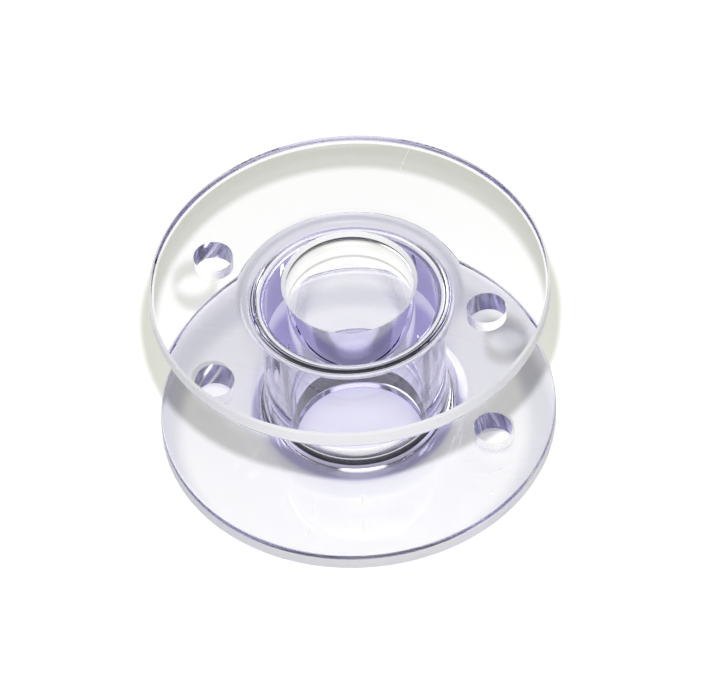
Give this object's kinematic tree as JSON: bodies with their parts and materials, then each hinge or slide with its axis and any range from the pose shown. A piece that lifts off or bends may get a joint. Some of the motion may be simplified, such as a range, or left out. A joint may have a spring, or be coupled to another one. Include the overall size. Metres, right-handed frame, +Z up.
{
  "type": "sewing machine bobbin",
  "caption": "Clear plastic sewing machine bobbin: round flanges on a hollow hub that holds wound thread, with a spindle bore and small thread holes in the flanges.",
  "frame": {"origin": "centre of the lower flange's outer face, on the bore's axis", "axes": "+Z up along the bore; +X through the small holes in the flanges"},
  "size_m": [0.0203, 0.0202, 0.0105],
  "materials": {
    "clear_plastic": "clear and polished, with a faint lavender tint in the thick places"
  },
  "bodies": {
    "root": {"bobbin": "clear_plastic"}
  },
  "joints": []
}
